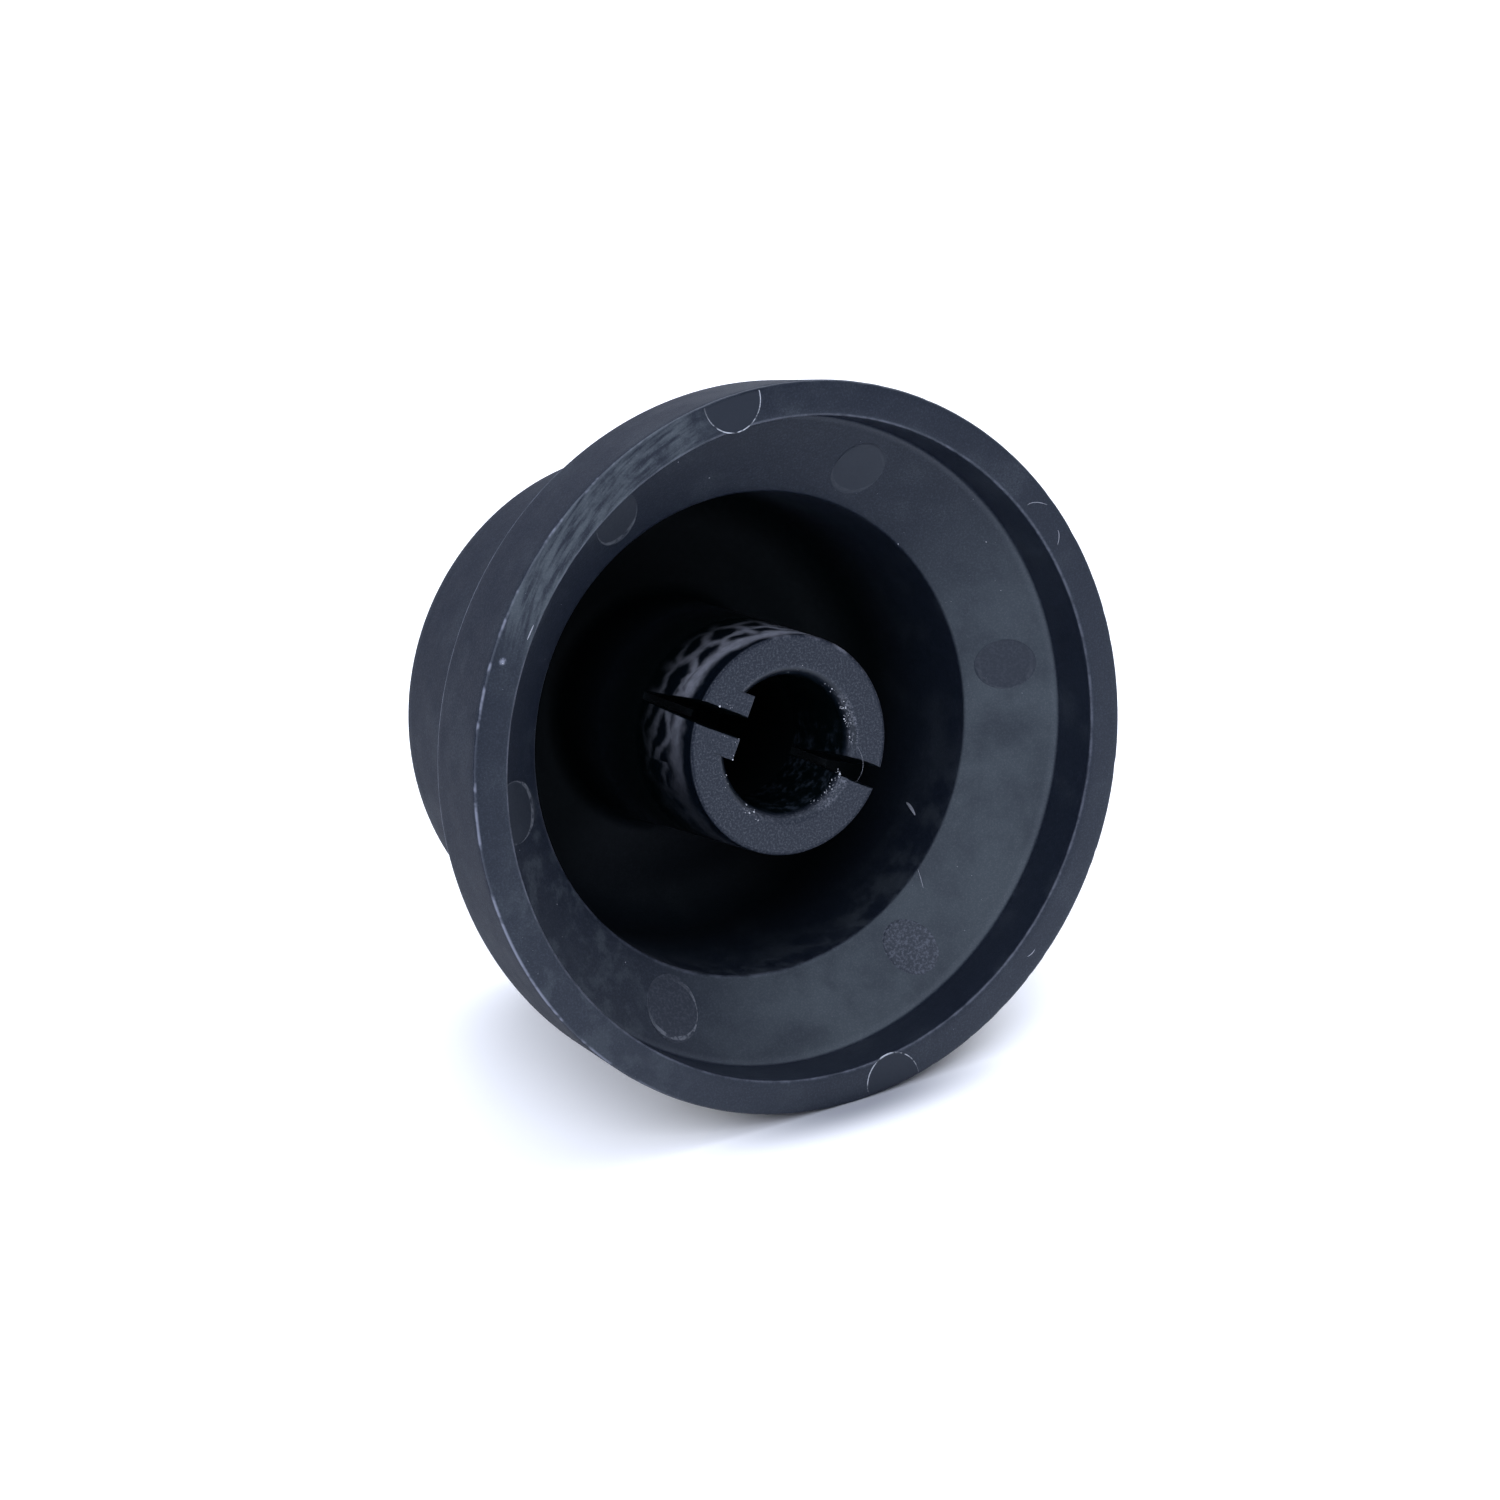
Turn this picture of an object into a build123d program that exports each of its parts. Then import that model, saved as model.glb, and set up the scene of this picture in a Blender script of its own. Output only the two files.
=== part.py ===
"""Push-on control knob with a skirt, for a 6 mm D-shaft.

The knob is one plastic moulding. It is modelled as the zones that the moulding is made of, each a node:
the skirt's band, its shoulder, the wall of the grip, the crown, and the boss, whose free end is slotted
into two jaws that spring apart as the shaft goes in. The index line is a paint fill in its own groove.

Frame: millimetres, +Y along the shaft from the open side to the crown, +Z up. The origin is the centre
of the boss's end face, which is the mouth of the shaft socket. The open side faces -Y.
"""

import os
from math import cos, radians, sin, tan

from build123d import *

# Skirt: depths are measured along +Y from the rim plane
RIM_RADIUS = 16.0
RIM_INNER_RADIUS = 14.47
BAND_TOP_RADIUS = 15.8
BAND_HEIGHT = 4.3
RECESS_RADIUS = 14.45
RECESS_DEPTH = 2.63
SHOULDER_SLOPE = 20.0

# Grip and its cavity
GRIP_FOOT_RADIUS = 12.5
GRIP_END_RADIUS = 12.0
CAVITY_MOUTH_RADIUS = 10.9
CAVITY_MOUTH_DEPTH = 5.15
CAVITY_FLOOR_RADIUS = 10.45
CAVITY_FLOOR_DEPTH = 14.98
KNOB_HEIGHT = 17.35
END_ROUND = 1.0

# Boss and shaft socket
BOSS_RECESS = 2.29
BOSS_TIP_RADIUS = 4.89
BOSS_BASE_RADIUS = 5.36
SOCKET_RADIUS = 3.05
SOCKET_DEPTH = 12.0
LEAD_IN_RADIUS = 3.56
LEAD_IN_DEPTH = 0.75

# The flat of the D, made by a pad that the slot splits in two
FLAT_DISTANCE = 2.44
PAD_WIDTH = 2.95
PAD_ROOT = 1.3
FLAT_CLOCK = 150.0

# Slot through the boss, narrowing from its mouth to its end
SLOT_DEPTH = 4.85
SLOT_MOUTH_WIDTH = 0.96
SLOT_END_WIDTH = 0.34

# Index line on the crown, on the side away from the flat
INDEX_WIDTH = 1.2
INDEX_INNER_RADIUS = 3.8
INDEX_OUTER_RADIUS = 10.4
INDEX_DEPTH = 0.35

# Places along Y in the knob's frame
RIM_Y = -BOSS_RECESS
BAND_TOP_Y = RIM_Y + BAND_HEIGHT
RECESS_Y = RIM_Y + RECESS_DEPTH
CAVITY_MOUTH_Y = RIM_Y + CAVITY_MOUTH_DEPTH
CAVITY_FLOOR_Y = RIM_Y + CAVITY_FLOOR_DEPTH
END_Y = RIM_Y + KNOB_HEIGHT
SHOULDER_RISE = tan(radians(SHOULDER_SLOPE))
BAND_SEAM_Y = BAND_TOP_Y + SHOULDER_RISE * (BAND_TOP_RADIUS - RECESS_RADIUS)
GRIP_FOOT_Y = BAND_TOP_Y + SHOULDER_RISE * (BAND_TOP_RADIUS - GRIP_FOOT_RADIUS)

# Plane of the boss's end face: local X points to the flat, local Y to the upper jaw, local Z into the boss
TO_FLAT = (cos(radians(FLAT_CLOCK)), 0, sin(radians(FLAT_CLOCK)))
FACE = Plane(origin=(0, 0, 0), x_dir=TO_FLAT, z_dir=(0, 1, 0))
# Plane across the slot: local X points to the upper jaw, local Y is the depth
ACROSS_SLOT = Plane(origin=(0, 0, 0), x_dir=FACE.y_dir, z_dir=FACE.x_dir)
END_FACE = Plane(origin=(0, END_Y, 0), x_dir=TO_FLAT, z_dir=(0, 1, 0))


def boss_radius(depth):
    """Outer radius of the boss, which thickens evenly from its end face to the cavity's floor."""
    return BOSS_TIP_RADIUS + (BOSS_BASE_RADIUS - BOSS_TIP_RADIUS) * depth / CAVITY_FLOOR_Y


def grip_radius(y):
    """Outer radius of the grip, which narrows evenly from its foot to the crown."""
    share = (y - GRIP_FOOT_Y) / (END_Y - GRIP_FOOT_Y)
    return GRIP_FOOT_RADIUS + (GRIP_END_RADIUS - GRIP_FOOT_RADIUS) * share


def turned(*outline):
    """Revolve a closed outline of (radius, y) points round the knob's axis, in the open part."""
    with BuildSketch(Plane.XY) as section:
        with BuildLine():
            Polyline(*outline, close=True)
        make_face()
    revolve(section.sketch, axis=Axis.Y)


def drive_pad(start, end):
    """Add the block that makes the flat of the D, between two depths in the boss."""
    with BuildSketch(FACE.offset(start)) as pad:
        with Locations((FLAT_DISTANCE + PAD_ROOT / 2, 0)):
            Rectangle(PAD_ROOT, PAD_WIDTH)
    extrude(pad.sketch, amount=end - start)


def keep(name, part):
    """Label a finished piece and write it as the node of that name."""
    part.label = name
    export_step(part, f"parts/{name}.step")


os.makedirs("parts", exist_ok=True)

# Band: the upright ring at the skirt's edge, with the rim that faces the panel
with BuildPart() as skirt_band:
    turned(
        (RIM_INNER_RADIUS, RIM_Y),
        (RIM_RADIUS, RIM_Y),
        (BAND_TOP_RADIUS, BAND_TOP_Y),
        (RECESS_RADIUS, BAND_SEAM_Y),
        (RECESS_RADIUS, RECESS_Y),
    )
keep("skirt_band", skirt_band.part)

# Shoulder: the dished ring that carries the band on the grip
with BuildPart() as skirt_shoulder:
    turned(
        (RECESS_RADIUS, RECESS_Y),
        (RECESS_RADIUS, BAND_SEAM_Y),
        (GRIP_FOOT_RADIUS, GRIP_FOOT_Y),
        (CAVITY_MOUTH_RADIUS, CAVITY_MOUTH_Y),
    )
keep("skirt_shoulder", skirt_shoulder.part)

# Grip wall: the tapered tube that the fingers hold
with BuildPart() as grip_wall:
    turned(
        (CAVITY_MOUTH_RADIUS, CAVITY_MOUTH_Y),
        (GRIP_FOOT_RADIUS, GRIP_FOOT_Y),
        (grip_radius(CAVITY_FLOOR_Y), CAVITY_FLOOR_Y),
        (CAVITY_FLOOR_RADIUS, CAVITY_FLOOR_Y),
    )
keep("grip_wall", grip_wall.part)

# Crown: the closed end, rounded at its edge, with a shallow groove for the index line
with BuildPart() as crown:
    turned(
        (0, CAVITY_FLOOR_Y),
        (grip_radius(CAVITY_FLOOR_Y), CAVITY_FLOOR_Y),
        (GRIP_END_RADIUS, END_Y),
        (0, END_Y),
    )
    end_edge = crown.edges().filter_by(GeomType.CIRCLE).sort_by(Axis.Y)[-1]
    fillet(end_edge, radius=END_ROUND)
    with BuildSketch(END_FACE) as index_outline:
        with Locations((-(INDEX_INNER_RADIUS + INDEX_OUTER_RADIUS) / 2, 0)):
            SlotOverall(INDEX_OUTER_RADIUS - INDEX_INNER_RADIUS, INDEX_WIDTH)
    extrude(amount=-INDEX_DEPTH, mode=Mode.SUBTRACT)
keep("crown", crown.part)

# Index line: the pale fill that lies flush in the crown's groove
with BuildPart() as index_line:
    extrude(index_outline.sketch, amount=-INDEX_DEPTH)
keep("index_line", index_line.part)

# Boss root: the unslotted length of the boss, with the blind end of the socket
with BuildPart() as boss_root:
    turned(
        (0, SOCKET_DEPTH),
        (SOCKET_RADIUS, SOCKET_DEPTH),
        (SOCKET_RADIUS, SLOT_DEPTH),
        (boss_radius(SLOT_DEPTH), SLOT_DEPTH),
        (BOSS_BASE_RADIUS, CAVITY_FLOOR_Y),
        (0, CAVITY_FLOOR_Y),
    )
    drive_pad(SLOT_DEPTH, SOCKET_DEPTH)
keep("boss_root", boss_root.part)


# Jaws: the two halves of the boss's slotted end, each with half of the drive pad
for name, side in (("upper_jaw", 1), ("lower_jaw", -1)):
    with BuildPart() as jaw:
        turned(
            (LEAD_IN_RADIUS, 0),
            (SOCKET_RADIUS, LEAD_IN_DEPTH),
            (SOCKET_RADIUS, SLOT_DEPTH),
            (boss_radius(SLOT_DEPTH), SLOT_DEPTH),
            (BOSS_TIP_RADIUS, 0),
        )
        drive_pad(0, SLOT_DEPTH)
        with BuildSketch(ACROSS_SLOT):
            with BuildLine():
                Polyline(
                    (side * SLOT_MOUTH_WIDTH / 2, 0),
                    (side * SLOT_END_WIDTH / 2, SLOT_DEPTH),
                    (-side * BOSS_BASE_RADIUS, SLOT_DEPTH),
                    (-side * BOSS_BASE_RADIUS, 0),
                    close=True,
                )
            make_face()
        extrude(amount=BOSS_BASE_RADIUS, both=True, mode=Mode.SUBTRACT)
    keep(name, jaw.part)
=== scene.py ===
"""Looks of the push-on control knob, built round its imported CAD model.

The functions that shape things work in millimetres, and a mesh becomes metres when it is made. The frame
is the model's: +Y along the shaft from the open side to the crown, +Z up, with the origin at the centre of
the boss's end face. Angles go round the axis from +X towards +Z, in degrees.
"""

import random
from math import asin, cos, hypot, pi, radians, sin, sqrt, tan

import bmesh
import bpy
from mathutils import Matrix, Vector, noise


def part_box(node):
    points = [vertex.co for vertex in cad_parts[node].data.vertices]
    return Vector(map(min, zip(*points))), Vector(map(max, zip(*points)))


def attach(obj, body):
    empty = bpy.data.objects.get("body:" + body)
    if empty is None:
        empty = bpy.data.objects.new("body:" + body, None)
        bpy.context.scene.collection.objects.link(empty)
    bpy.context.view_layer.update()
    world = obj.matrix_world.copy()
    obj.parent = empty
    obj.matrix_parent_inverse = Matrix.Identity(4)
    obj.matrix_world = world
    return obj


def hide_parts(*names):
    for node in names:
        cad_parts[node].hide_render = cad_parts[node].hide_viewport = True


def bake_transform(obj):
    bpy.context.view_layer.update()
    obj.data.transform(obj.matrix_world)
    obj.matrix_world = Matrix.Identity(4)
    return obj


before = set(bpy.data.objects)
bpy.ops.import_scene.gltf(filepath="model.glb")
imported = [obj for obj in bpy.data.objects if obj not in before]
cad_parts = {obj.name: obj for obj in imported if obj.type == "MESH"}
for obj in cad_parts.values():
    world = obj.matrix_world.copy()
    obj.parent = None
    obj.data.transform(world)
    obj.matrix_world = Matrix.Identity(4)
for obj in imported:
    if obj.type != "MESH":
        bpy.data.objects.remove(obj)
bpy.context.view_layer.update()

MM = 0.001

# How finely round things are divided
SEGMENTS = 384
HALF = SEGMENTS // 2
ARC_RUNS = 6
INDEX_END_RUNS = 16
MARK_SEGMENTS = 96
STRAND_RUNS = 14


def span(node):
    """Lowest and highest corners of a CAD node, in millimetres."""
    low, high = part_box(node)
    return Vector(low) / MM, Vector(high) / MM


# Sizes read from the CAD nodes' boxes
band_low, band_high = span("skirt_band")
crown_low, crown_high = span("crown")
RIM_RADIUS = band_high.x
RIM_Y = band_low.y
END_Y = crown_high.y
CAVITY_FLOOR_Y = crown_low.y
SLOT_DEPTH = span("boss_root")[0].y

# Sizes that the boxes don't give, as in the CAD model
RIM_INNER_RADIUS = 14.47
BAND_TOP_RADIUS = 15.8
BAND_TOP_Y = 2.01
RECESS_RADIUS = 14.45
RECESS_Y = 0.34
GRIP_FOOT_RADIUS = 12.5
GRIP_FOOT_Y = 3.211
GRIP_END_RADIUS = 12.0
END_ROUND = 1.0
CAVITY_MOUTH_RADIUS = 10.9
CAVITY_MOUTH_Y = 2.86
CAVITY_FLOOR_RADIUS = 10.45
BOSS_TIP_RADIUS = 4.89
BOSS_BASE_RADIUS = 5.36
SOCKET_RADIUS = 3.05
SOCKET_DEPTH = 12.0
LEAD_IN_RADIUS = 3.56
LEAD_IN_DEPTH = 0.75
FLAT_DISTANCE = 2.44
PAD_HALF_WIDTH = 1.475
FLAT_CLOCK = 150.0
SLOT_MOUTH_WIDTH = 0.96
SLOT_END_WIDTH = 0.34
INDEX_WIDTH = 1.2
INDEX_INNER_RADIUS = 3.8
INDEX_OUTER_RADIUS = 10.4
INDEX_DEPTH = 0.35
INDEX_MIDDLE = -(INDEX_INNER_RADIUS + INDEX_OUTER_RADIUS) / 2

# The rim's face is drawn this much inside the CAD model's, which leaves room for flash and lint on it
RIM_SINK = 0.03
RIM_FACE_Y = RIM_Y + RIM_SINK

# Ejector pins leave round marks: six on the ledge inside the skirt, two cut by the rim's outer edge.
# Each row gives a mark's angle, radius, grain, paleness, ring and the side where the ring's painted
# highlight is strongest.
LEDGE_PIN_PITCH = 12.6
LEDGE_PIN_LIP = 0.02
LEDGE_PIN_MARKS = (
    (4.0, 1.18, 0.004, 0.05, 0.02, 270),
    (62.0, 1.18, 0.004, 0.0, 0.02, 270),
    (119.0, 1.18, 0.004, 0.0, 0.08, 265),
    (182.0, 1.36, 0.004, 0.0, 0.12, 0),
    (239.0, 1.38, 0.012, 0.08, 0.14, 280),
    (298.0, 1.18, 0.014, 0.22, 0.0, 270),
)
RIM_PIN_PITCH = 15.75
RIM_PIN_ANGLES = (97.3, 277.3)
RIM_PIN_RADIUS = 1.38
RIM_PIN_LIP = 0.028
MARK_RISE = 0.004
MARK_MOST_RADIUS = RIM_RADIUS - 0.13

TO_FLAT = Vector((cos(radians(FLAT_CLOCK)), 0, sin(radians(FLAT_CLOCK))))
TO_UPPER = Vector((sin(radians(FLAT_CLOCK)), 0, -cos(radians(FLAT_CLOCK))))
LEDGE_SLOPE = (CAVITY_MOUTH_Y - RECESS_Y) / (RECESS_RADIUS - CAVITY_MOUTH_RADIUS)


# ---------------------------------------------------------------- places and meshes


def place(to_flat, to_upper, y):
    """A point from its distances towards the flat and the upper jaw, and its place along the axis."""
    return TO_FLAT * to_flat + TO_UPPER * to_upper + Vector((0, y, 0))


def around(radius, angle, y):
    """A point from its radius, its angle round the axis in degrees and its place along the axis."""
    return Vector((radius * cos(radians(angle)), y, radius * sin(radians(angle))))


def boss_radius(y):
    """Outer radius of the boss, which thickens evenly from its end face to the cavity's floor."""
    return BOSS_TIP_RADIUS + (BOSS_BASE_RADIUS - BOSS_TIP_RADIUS) * y / CAVITY_FLOOR_Y


def ledge_y(radius):
    """Place along the axis of the sloped ledge inside the skirt, at a radius."""
    return RECESS_Y + (RECESS_RADIUS - radius) * LEDGE_SLOPE


def rim_face_y(radius):
    """Place along the axis of the rim's face, which is the same at every radius."""
    return RIM_FACE_Y


def mouth_rounding(depth, size):
    """How far a rounded edge of a given size has receded at a depth behind the face."""
    if depth >= size:
        return 0
    return size - sqrt(size**2 - (size - depth) ** 2)


def lead_in_flare(depth):
    """How much wider than the bore the rounded lead-in is, at a depth behind the face."""
    return mouth_rounding(depth / LEAD_IN_DEPTH, 1.0) * (LEAD_IN_RADIUS - SOCKET_RADIUS)


def rounded_path(corners, step):
    """A path through (radius, y, rounding) corners, with arcs at the rounded ones and runs cut to step."""
    path = [Vector(corners[0][:2])]
    for before, here, after in zip(corners, corners[1:], corners[2:]):
        corner, rounding = Vector(here[:2]), here[2]
        back = (Vector(before[:2]) - corner).normalized()
        ahead = (Vector(after[:2]) - corner).normalized()
        half = back.angle(ahead) / 2
        if not rounding:
            path.append(corner)
            continue
        centre = corner + (back + ahead).normalized() * rounding / sin(half)
        start = corner + back * rounding / tan(half) - centre
        end = corner + ahead * rounding / tan(half) - centre
        turn = start.angle(end)
        for i in range(ARC_RUNS + 1):
            share = i / ARC_RUNS
            path.append(centre + (start * sin((1 - share) * turn) + end * sin(share * turn)) / sin(turn))
    path.append(Vector(corners[-1][:2]))
    fine = [path[0]]
    for a, b in zip(path, path[1:]):
        runs = max(1, round((b - a).length / step))
        fine += [a.lerp(b, (i + 1) / runs) for i in range(runs)]
    return fine


def loft(rings, closed=True):
    """Points and faces of a skin through rings of points; a ring of one point is a tip."""
    points, faces, starts = [], [], []
    for ring in rings:
        starts.append(len(points))
        points += ring
    for k in range(len(rings) - 1):
        a, b = len(rings[k]), len(rings[k + 1])
        count = max(a, b)
        for i in range(count if closed else count - 1):
            j = (i + 1) % count
            corners = (starts[k] + i % a, starts[k] + j % a, starts[k + 1] + j % b, starts[k + 1] + i % b)
            faces.append(tuple(dict.fromkeys(corners)))
    return points, faces


def make_piece(name, points, faces, material, crease=40):
    """A smooth mesh object from points in millimetres, with edges sharper than crease kept sharp."""
    shape = bmesh.new()
    corners = [shape.verts.new(point * MM) for point in points]
    for face in faces:
        shape.faces.new([corners[i] for i in face])
    bmesh.ops.recalc_face_normals(shape, faces=shape.faces)
    mesh = bpy.data.meshes.new(name)
    shape.to_mesh(mesh)
    shape.free()
    mesh.materials.append(material)
    mesh.shade_smooth()
    mesh.set_sharp_from_angle(angle=radians(crease))
    piece = bpy.data.objects.new(name, mesh)
    bpy.context.scene.collection.objects.link(piece)
    return piece


def bake_modifiers(piece):
    """Apply every modifier of a piece to its mesh."""
    graph = bpy.context.evaluated_depsgraph_get()
    mesh = bpy.data.meshes.new_from_object(piece.evaluated_get(graph))
    piece.modifiers.clear()
    piece.data = mesh


def settle(piece, body, material_slot, *nodes):
    """Hang a finished piece on its body and the CAD nodes that it stands for."""
    if nodes:
        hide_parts(*nodes)
    if body:
        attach(piece, body)


# ---------------------------------------------------------------- materials


class Graph:
    """A material's node graph, with short calls for the nodes that are used often."""

    def __init__(self, name):
        self.material = bpy.data.materials.new(name)
        self.material.use_nodes = True
        self.tree = self.material.node_tree
        self.shader = self.tree.nodes["Principled BSDF"]
        local = self.node("ShaderNodeTexCoord").outputs["Object"]
        self.place = self.vector("SCALE", local, scale=1 / MM)
        flat = self.vector("MULTIPLY", self.place, (1, 0, 1))
        self.radius = self.vector("LENGTH", flat)
        self.outward = self.vector("NORMALIZE", flat)
        split = self.node("ShaderNodeSeparateXYZ")
        self.feed(split.inputs[0], self.place)
        self.x, self.y, self.z = split.outputs
        self.angle = self.math("ARCTAN2", self.z, self.x)

    def node(self, kind, **settings):
        """A new node, with its settings."""
        made = self.tree.nodes.new(kind)
        for key, value in settings.items():
            setattr(made, key, value)
        return made

    def feed(self, socket, value):
        """Give a socket a value: another node's output, or a constant."""
        if isinstance(value, bpy.types.NodeSocket):
            self.tree.links.new(value, socket)
        else:
            socket.default_value = value

    def math(self, operation, a, b=None):
        """One step of arithmetic on one or two numbers."""
        made = self.node("ShaderNodeMath", operation=operation)
        self.feed(made.inputs[0], a)
        if b is not None:
            self.feed(made.inputs[1], b)
        return made.outputs[0]

    def vector(self, operation, a, b=None, scale=None):
        """One step of vector arithmetic. A length, a distance or a dot product comes out as a number."""
        made = self.node("ShaderNodeVectorMath", operation=operation)
        self.feed(made.inputs[0], a)
        if b is not None:
            self.feed(made.inputs[1], b)
        if scale is not None:
            made.inputs["Scale"].default_value = scale
        return made.outputs["Value" if operation in ("LENGTH", "DISTANCE", "DOT_PRODUCT") else "Vector"]

    def combine(self, x, y, z):
        """A vector from its three parts."""
        made = self.node("ShaderNodeCombineXYZ")
        for socket, value in zip(made.inputs, (x, y, z)):
            self.feed(socket, value)
        return made.outputs[0]

    def ramp(self, value, low, high, to_low=0.0, to_high=1.0):
        """Ease a value from to_low at low to to_high at high."""
        made = self.node("ShaderNodeMapRange", interpolation_type="SMOOTHSTEP")
        self.feed(made.inputs["Value"], value)
        made.inputs["From Min"].default_value = low
        made.inputs["From Max"].default_value = high
        made.inputs["To Min"].default_value = to_low
        made.inputs["To Max"].default_value = to_high
        return made.outputs["Result"]

    def noise(self, where, scale, detail=3.0, roughness=0.5):
        """Cloudy noise from 0 to 1, with scale features in each millimetre."""
        made = self.node("ShaderNodeTexNoise")
        self.feed(made.inputs["Vector"], where)
        made.inputs["Scale"].default_value = scale
        made.inputs["Detail"].default_value = detail
        made.inputs["Roughness"].default_value = roughness
        return made.outputs["Fac"]

    def mix(self, share, a, b):
        """Blend two colours, or two numbers."""
        is_colour = any(isinstance(v, (tuple, list)) or getattr(v, "type", "") == "RGBA" for v in (a, b))
        made = self.node("ShaderNodeMix", data_type="RGBA" if is_colour else "FLOAT")
        first = 6 if is_colour else 2
        self.feed(made.inputs[0], share)
        self.feed(made.inputs[first], a)
        self.feed(made.inputs[first + 1], b)
        return made.outputs[2 if is_colour else 0]

    def product(self, *values):
        """Multiply masks together."""
        result = values[0]
        for value in values[1:]:
            result = self.math("MULTIPLY", result, value)
        return result

    def most(self, *values):
        """The largest of several masks."""
        result = values[0]
        for value in values[1:]:
            result = self.math("MAXIMUM", result, value)
        return result

    def near_edge(self, radius, y, width):
        """1 on a turned edge, fading to 0 at width away from it."""
        section = self.combine(self.radius, self.y, 0.0)
        return self.ramp(self.vector("DISTANCE", section, (radius, y, 0)), width, 0.2 * width)

    def towards(self, angle, low, high, to_low=0.0, to_high=1.0):
        """Ease from to_low to to_high on the side that faces an angle round the axis.

        low and high are the cosines between which it eases.
        """
        side = (cos(radians(angle)), 0, sin(radians(angle)))
        return self.ramp(self.vector("DOT_PRODUCT", self.outward, side), low, high, to_low, to_high)

    def between(self, value, low, high, soft):
        """1 while a value lies between two others, with soft ends."""
        above = self.ramp(value, low - soft, low + soft)
        return self.product(above, self.ramp(value, high + soft, high - soft))

    def bump(self, height, distance, below=None):
        """A normal from a height map, distance in millimetres, on top of another normal."""
        made = self.node("ShaderNodeBump")
        made.inputs["Strength"].default_value = 1.0
        made.inputs["Distance"].default_value = distance * MM
        self.feed(made.inputs["Height"], height)
        if below is not None:
            self.feed(made.inputs["Normal"], below)
        return made.outputs[0]

    def finish(self, colour, roughness, normal=None, specular=0.5, plain_specular=0.5):
        """Feed the shader. Where specular varies, plain_specular is what its socket itself says."""
        self.feed(self.shader.inputs["Base Color"], colour)
        self.feed(self.shader.inputs["Roughness"], roughness)
        if normal is not None:
            self.feed(self.shader.inputs["Normal"], normal)
        self.shader.inputs["Specular IOR Level"].default_value = plain_specular
        self.feed(self.shader.inputs["Specular IOR Level"], specular)
        self.shader.inputs["Specular Tint"].default_value = SHEEN_TINT
        return self.material


PLASTIC = (0.0055, 0.0085, 0.0160, 1)
PLASTIC_WORN = (0.026, 0.032, 0.050, 1)
BOSS_SIDE = (0.0025, 0.0045, 0.0085, 1)
BOSS_FACE_WORN = (0.053, 0.058, 0.073, 1)
# Near-black painted shade for the deep cavity, the socket, the jaws' sunk sides, the slot and the bore
PAINTED_SHADE_BLACK = (0.0008, 0.0022, 0.0028, 1)
BORE_LINT = (0.018, 0.024, 0.034, 1)
WHITENED = (0.26, 0.28, 0.36, 1)
FILM = (0.260, 0.275, 0.330, 1)
# Pale haze: real scuffs and finger marks, and on the open side also painted light
HAZE_AND_PAINTED_LIGHT = (0.050, 0.062, 0.074, 1)
HAZE_AND_PAINTED_LIGHT_WORN = (0.085, 0.097, 0.112, 1)
PIN_RING = (0.62, 0.66, 0.74, 1)
# Flash colours: partly the flash's own pale colour and partly painted glint
FLASH_DULL = (0.35, 0.37, 0.44, 1)
FLASH_PAINTED_GLINT = (0.75, 0.77, 0.82, 1)
LINT_DARK = (0.16, 0.17, 0.21, 1)
LINT_PALE = (0.42, 0.44, 0.50, 1)
PAINT_DULL = (0.66, 0.65, 0.62, 1)
PAINT_PALE = (0.82, 0.81, 0.78, 1)
PAINT_GRUBBY = (0.40, 0.39, 0.38, 1)
BOARD_DULL = (0.93, 0.935, 0.95, 1)
BOARD_PALE = (0.95, 0.955, 0.965, 1)
BOARD_PAINTED_SHADOW = (0.30, 0.31, 0.34, 1)
BOARD_GLOW = (0.98, 0.99, 1.0, 1)
SHEEN_TINT = (0.80, 0.88, 1.0, 1)


def spark_texture(g, grain):
    """The fine matte texture of a spark-eroded mould: its height, at about 0.1 and 0.03 mm."""
    coarse = g.noise(g.place, 9.0, 2.0, 0.6)
    fine = g.noise(g.place, 30.0, 1.0, 0.5)
    return g.mix(grain, coarse, fine)


def worn_edges(g, speckle):
    """Where the moulding's turned edges are rubbed pale, with a small dent on the rim's upper left."""
    broken = g.ramp(g.noise(g.place, 1.1, 5.0, 0.75), 0.36, 0.64)
    rubbed = g.ramp(g.noise(g.place, 0.62, 3.0, 0.7), 0.46, 0.56)
    rim_outer = g.product(
        g.near_edge(RIM_RADIUS, RIM_FACE_Y, 0.14), g.mix(rubbed, 0.06, 0.66), g.towards(170, 0.25, 0.88)
    )
    rim_inner = g.product(g.near_edge(RIM_INNER_RADIUS, RIM_FACE_Y, 0.15), g.mix(broken, 0.1, 0.9), 0.25)
    band_top = g.product(g.near_edge(BAND_TOP_RADIUS, BAND_TOP_Y, 0.12), g.mix(broken, 0.3, 1.0), 0.75)
    cavity_mouth = g.product(
        g.near_edge(CAVITY_MOUTH_RADIUS, CAVITY_MOUTH_Y, 0.22), broken, g.towards(222, 0.2, 0.9), 0.16
    )
    from_dent = g.vector("DISTANCE", g.place, around(15.48, 153.6, RIM_FACE_Y))
    dent = g.ramp(g.math("ADD", from_dent, g.product(speckle, 0.2)), 0.30, 0.12, 0.0, 0.75)
    return g.most(rim_outer, band_top, rim_inner, cavity_mouth, dent)


def scuffs(g, on_rim, blotch):
    """Pale slanting scratches on the upper left of the rim."""
    across = g.math("ADD", g.product(g.radius, 4.5), g.product(g.angle, 6.0))
    scratches = g.noise(g.combine(g.product(g.angle, 9.0), across, g.y), 0.9, 4.0, 0.6)
    scratches = g.ramp(scratches, 0.34, 0.62)
    return g.product(on_rim, g.towards(126, 0.87, 0.96), scratches, g.ramp(blotch, 0.26, 0.52))


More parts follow.
